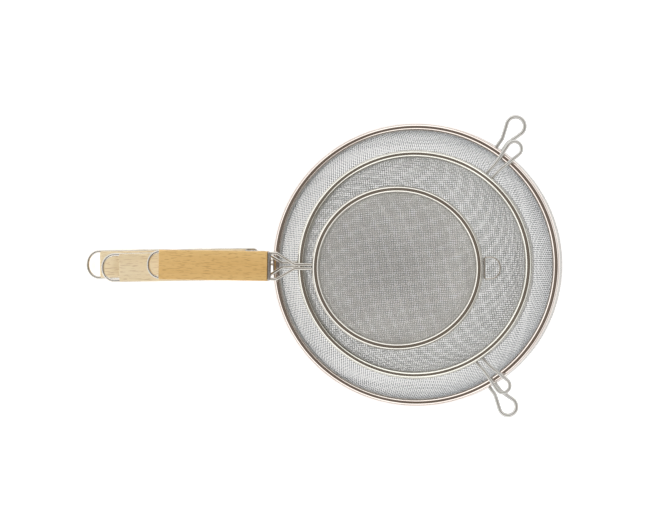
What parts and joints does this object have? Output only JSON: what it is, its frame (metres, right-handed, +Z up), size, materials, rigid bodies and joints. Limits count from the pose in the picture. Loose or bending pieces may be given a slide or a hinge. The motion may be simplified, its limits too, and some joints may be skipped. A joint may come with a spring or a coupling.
{
  "type": "nesting strainer set",
  "caption": "Nesting round fine-mesh strainers with rolled steel rims, wire-framed beech grips, hanging loops and wire rests that sit on a pot's edge",
  "frame": {"origin": "middle of the underside of the whole nested set's bounding box", "axes": "+X from the handles to the far side of the rims, +Y to the left seen from the handles, +Z up out of the bowls"},
  "size_m": [0.3402, 0.2136, 0.1032],
  "materials": {
    "polished_band": "polished stainless strip rolled over the mesh's edge",
    "hoop_wire": "drawn stainless wire, hidden in the rolled edge",
    "woven_mesh": "plain-woven fine stainless wire",
    "frame_wire": "bright drawn stainless wire",
    "rest_wire": "bright drawn stainless wire, spot welded",
    "plate": "thin stainless sheet",
    "large_beech": "pale beech, sanded, unvarnished",
    "medium_beech": "pale beech, sanded, unvarnished",
    "small_beech": "oiled orange-tan beech, sanded"
  },
  "bodies": {
    "large_strainer": {"large_rim_band": "polished_band", "large_rim_hoop": "hoop_wire", "large_mesh_bowl": "woven_mesh", "large_handle_frame": "frame_wire", "large_grip": "large_beech", "large_end_plate": "plate", "large_ear_left": "rest_wire", "large_ear_right": "rest_wire"},
    "medium_strainer": {"medium_rim_band": "polished_band", "medium_rim_hoop": "hoop_wire", "medium_mesh_bowl": "woven_mesh", "medium_handle_frame": "frame_wire", "medium_grip": "medium_beech", "medium_end_plate": "plate", "medium_ear_left": "rest_wire", "medium_ear_right": "rest_wire"},
    "small_strainer": {"small_rim_band": "polished_band", "small_rim_hoop": "hoop_wire", "small_mesh_bowl": "woven_mesh", "small_handle_frame": "frame_wire", "small_grip": "small_beech", "small_end_plate": "plate", "small_rest_ring": "rest_wire"}
  },
  "joints": [
    {"name": "medium_lift", "type": "slide", "parent": "large_strainer", "child": "medium_strainer", "axis": [0, 0, 1], "range_m": [0, 0.15]},
    {"name": "small_lift", "type": "slide", "parent": "medium_strainer", "child": "small_strainer", "axis": [0, 0, 1], "range_m": [0, 0.12]}
  ]
}
